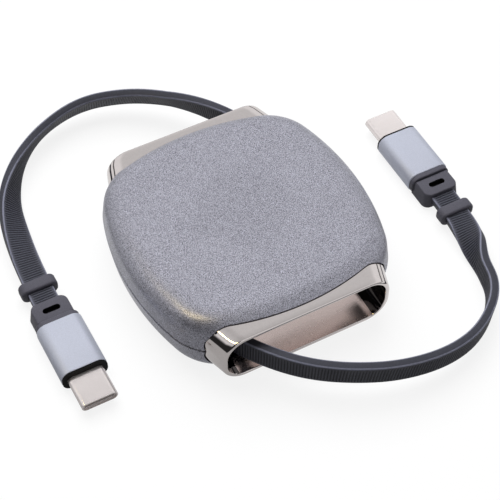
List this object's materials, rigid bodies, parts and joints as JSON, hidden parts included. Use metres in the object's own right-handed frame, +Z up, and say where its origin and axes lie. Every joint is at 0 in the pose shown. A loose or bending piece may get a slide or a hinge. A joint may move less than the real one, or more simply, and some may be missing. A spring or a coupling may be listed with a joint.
{
  "type": "retractable charging cable",
  "caption": "Pocket cable reel: a domed round-cornered housing with a sprung drum, two chromed mouths, and a flat cable that ends in a small plug at each side.",
  "frame": {"origin": "under the middle of the housing, on the surface that it lies on", "axes": "+Z up; the front cable mouth faces -Y and the rear one +Y; +X is to the right as the front mouth is faced"},
  "size_m": [0.1041, 0.1065, 0.0172],
  "materials": {
    "housing_paint": "fine speckled metallic paint, satin",
    "collar_chrome": "dark chrome plating, polished",
    "cable_rubber": "matt with fine cross ribs",
    "reel_plastic": "moulded, slightly waxy",
    "pawl_plastic": "moulded, slightly waxy",
    "spring_steel": "rolled strip",
    "screw_steel": "zinc plated",
    "sleeve_aluminium": "fine satin, anodised",
    "insert_plastic": "moulded, smooth",
    "plug_steel": "drawn and nickel plated",
    "liner_plastic": "moulded",
    "contact_gold": "gold flash",
    "boot_rubber": "matt moulded"
  },
  "bodies": {
    "housing": {"top_shell": "housing_paint", "bottom_shell": "housing_paint", "front_collar": "collar_chrome", "rear_collar": "collar_chrome", "mainspring": "spring_steel", "reel_washer": "screw_steel", "reel_screw": "screw_steel", "front_cable": "cable_rubber", "rear_cable": "cable_rubber", "right_plug_sleeve": "sleeve_aluminium", "right_plug_insert": "insert_plastic", "right_plug_shell": "plug_steel", "right_plug_liner": "liner_plastic", "right_plug_contacts": "contact_gold", "right_plug_boot": "boot_rubber", "right_cable_bead": "boot_rubber", "left_plug_sleeve": "sleeve_aluminium", "left_plug_insert": "insert_plastic", "left_plug_shell": "plug_steel", "left_plug_liner": "liner_plastic", "left_plug_contacts": "contact_gold", "left_plug_boot": "boot_rubber", "left_cable_bead": "boot_rubber"},
    "reel": {"reel_drum": "reel_plastic", "reel_cap": "reel_plastic", "cable_winding": "cable_rubber"},
    "pawl": {"lock_pawl": "pawl_plastic"}
  },
  "joints": [
    {"name": "reel_spin", "type": "hinge", "parent": "housing", "child": "reel", "pos_m": [0, 0, 0.0086], "axis": [0, 0, 1], "range_deg": [-250, 1030], "deforming": ["mainspring"]},
    {"name": "pawl_swing", "type": "hinge", "parent": "housing", "child": "pawl", "pos_m": [0.0163, 0.0098, 0.0144], "axis": [0, 0, 1], "range_deg": [-25, 0]}
  ]
}
